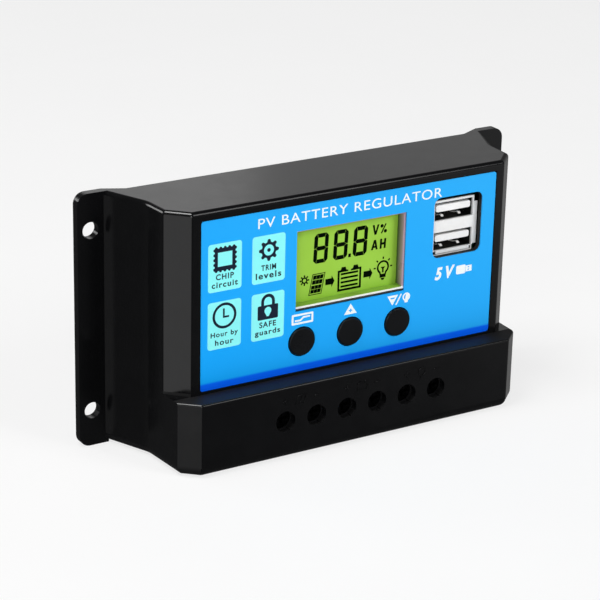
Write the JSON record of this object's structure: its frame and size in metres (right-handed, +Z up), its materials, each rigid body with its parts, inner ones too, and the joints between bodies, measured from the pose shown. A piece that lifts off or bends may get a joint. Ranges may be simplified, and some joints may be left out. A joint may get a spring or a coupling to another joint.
{
  "type": "solar charge controller",
  "caption": "Wall-mounted solar charge controller: black case with two ears, blue front label, LCD window, push buttons, stacked USB sockets and screw terminals below.",
  "frame": {"origin": "centre of the four wall-screw holes, on the wall plane", "axes": "+Z up, +Y into the wall, front of the case faces -Y, +X to the right seen from the front"},
  "size_m": [0.1334, 0.035, 0.07],
  "materials": {
    "case_black": "glossy black moulded ABS",
    "cover_black": "fine-textured black moulded ABS",
    "label_blue": "printed blue plastic overlay",
    "lcd_glass": "yellow-green reflective LCD glass",
    "backlight": "diffusing light guide",
    "white_nylon": "white moulded nylon",
    "tinned_pin": "tinned wire and pins",
    "switch_black": "black moulded nylon",
    "nickel": "bright nickel-plated sheet",
    "gold_contact": "gold-flashed contact",
    "tinned_brass": "tinned brass bar",
    "board_green": "green solder mask on glass-epoxy board",
    "screw_steel": "black-zinc screw steel",
    "aluminium_plate": "milled aluminium plate",
    "thermal_pad": "grey silicone pad",
    "tinned_copper": "tinned copper",
    "epoxy_black": "black moulding epoxy",
    "aluminium_can": "drawn aluminium can",
    "black_rubber": "black rubber bung",
    "ferrite": "dark grey ferrite",
    "copper_wire": "enamelled copper wire",
    "chip_ceramic": "chip resistors and capacitors",
    "block_black": "black moulded nylon terminal block",
    "button_black": "glossy black button cap",
    "terminal_steel": "zinc-plated terminal screw",
    "cage_steel": "zinc-plated clamp cage"
  },
  "bodies": {
    "housing": {"back_cover": "cover_black", "board_screws": "screw_steel", "capacitor_cans": "aluminium_can", "capacitor_seals": "black_rubber", "case_screws": "screw_steel", "chip_capacitors": "chip_ceramic", "chip_pins": "tinned_pin", "chip_resistors": "chip_ceramic", "component_leads": "tinned_pin", "controller_chip": "epoxy_black", "converter_chip": "epoxy_black", "crystal": "nickel", "diode_bodies": "epoxy_black", "diode_tabs": "tinned_pin", "front_label": "label_blue", "front_shell": "case_black", "heat_spreader": "aluminium_plate", "inductor_core": "ferrite", "inductor_winding": "copper_wire", "lcd_backlight": "backlight", "lcd_glass": "lcd_glass", "lcd_pins": "tinned_pin", "lcd_spacer": "white_nylon", "main_board": "board_green", "shunt_wires": "tinned_copper", "spreader_screws": "screw_steel", "switch_bodies": "switch_black", "switch_domes": "nickel", "switch_legs": "tinned_pin", "switch_plates": "nickel", "tab_screws": "screw_steel", "terminal_bars": "tinned_brass", "terminal_block_left": "block_black", "terminal_block_middle": "block_black", "terminal_block_right": "block_black", "thermal_pad": "thermal_pad", "transistor_bodies": "epoxy_black", "transistor_leads": "tinned_pin", "transistor_tabs": "tinned_copper", "usb_contacts": "gold_contact", "usb_insulator": "white_nylon", "usb_shell": "nickel"},
    "menu_key": {"menu_button": "button_black", "menu_plunger": "switch_black"},
    "up_key": {"up_button": "button_black", "up_plunger": "switch_black"},
    "down_key": {"down_button": "button_black", "down_plunger": "switch_black"},
    "screw_1": {"terminal_screw_1": "terminal_steel"},
    "cage_1": {"clamp_cage_1": "cage_steel"},
    "screw_2": {"terminal_screw_2": "terminal_steel"},
    "cage_2": {"clamp_cage_2": "cage_steel"},
    "screw_3": {"terminal_screw_3": "terminal_steel"},
    "cage_3": {"clamp_cage_3": "cage_steel"},
    "screw_4": {"terminal_screw_4": "terminal_steel"},
    "cage_4": {"clamp_cage_4": "cage_steel"},
    "screw_5": {"terminal_screw_5": "terminal_steel"},
    "cage_5": {"clamp_cage_5": "cage_steel"},
    "screw_6": {"terminal_screw_6": "terminal_steel"},
    "cage_6": {"clamp_cage_6": "cage_steel"}
  },
  "joints": [
    {"name": "menu_press", "type": "slide", "parent": "housing", "child": "menu_key", "axis": [0, 1, 0], "range_m": [0, 0.0003], "stiffness_N_per_m": 400, "springref_m": -0.0005},
    {"name": "up_press", "type": "slide", "parent": "housing", "child": "up_key", "axis": [0, 1, 0], "range_m": [0, 0.0003], "stiffness_N_per_m": 400, "springref_m": -0.0005},
    {"name": "down_press", "type": "slide", "parent": "housing", "child": "down_key", "axis": [0, 1, 0], "range_m": [0, 0.0003], "stiffness_N_per_m": 400, "springref_m": -0.0005},
    {"name": "screw_1_turn", "type": "hinge", "parent": "housing", "child": "screw_1", "pos_m": [-0.02327, -0.0305, -0.02415], "axis": [0, 1, 0], "range_deg": [0, 2160]},
    {"name": "cage_1_rise", "type": "slide", "parent": "housing", "child": "cage_1", "axis": [0, -1, 0], "range_m": [0, 0.0042]},
    {"name": "screw_2_turn", "type": "hinge", "parent": "housing", "child": "screw_2", "pos_m": [-0.01377, -0.0305, -0.02415], "axis": [0, 1, 0], "range_deg": [0, 2160]},
    {"name": "cage_2_rise", "type": "slide", "parent": "housing", "child": "cage_2", "axis": [0, -1, 0], "range_m": [0, 0.0042]},
    {"name": "screw_3_turn", "type": "hinge", "parent": "housing", "child": "screw_3", "pos_m": [-0.00427, -0.0305, -0.02415], "axis": [0, 1, 0], "range_deg": [0, 2160]},
    {"name": "cage_3_rise", "type": "slide", "parent": "housing", "child": "cage_3", "axis": [0, -1, 0], "range_m": [0, 0.0042]},
    {"name": "screw_4_turn", "type": "hinge", "parent": "housing", "child": "screw_4", "pos_m": [0.00523, -0.0305, -0.02415], "axis": [0, 1, 0], "range_deg": [0, 2160]},
    {"name": "cage_4_rise", "type": "slide", "parent": "housing", "child": "cage_4", "axis": [0, -1, 0], "range_m": [0, 0.0042]},
    {"name": "screw_5_turn", "type": "hinge", "parent": "housing", "child": "screw_5", "pos_m": [0.01473, -0.0305, -0.02415], "axis": [0, 1, 0], "range_deg": [0, 2160]},
    {"name": "cage_5_rise", "type": "slide", "parent": "housing", "child": "cage_5", "axis": [0, -1, 0], "range_m": [0, 0.0042]},
    {"name": "screw_6_turn", "type": "hinge", "parent": "housing", "child": "screw_6", "pos_m": [0.02423, -0.0305, -0.02415], "axis": [0, 1, 0], "range_deg": [0, 2160]},
    {"name": "cage_6_rise", "type": "slide", "parent": "housing", "child": "cage_6", "axis": [0, -1, 0], "range_m": [0, 0.0042]}
  ],
  "couplings": [
    {"joint": "screw_1_turn", "follows": "cage_1_rise", "rad_per_m": 8976},
    {"joint": "screw_2_turn", "follows": "cage_2_rise", "rad_per_m": 8976},
    {"joint": "screw_3_turn", "follows": "cage_3_rise", "rad_per_m": 8976},
    {"joint": "screw_4_turn", "follows": "cage_4_rise", "rad_per_m": 8976},
    {"joint": "screw_5_turn", "follows": "cage_5_rise", "rad_per_m": 8976},
    {"joint": "screw_6_turn", "follows": "cage_6_rise", "rad_per_m": 8976}
  ]
}
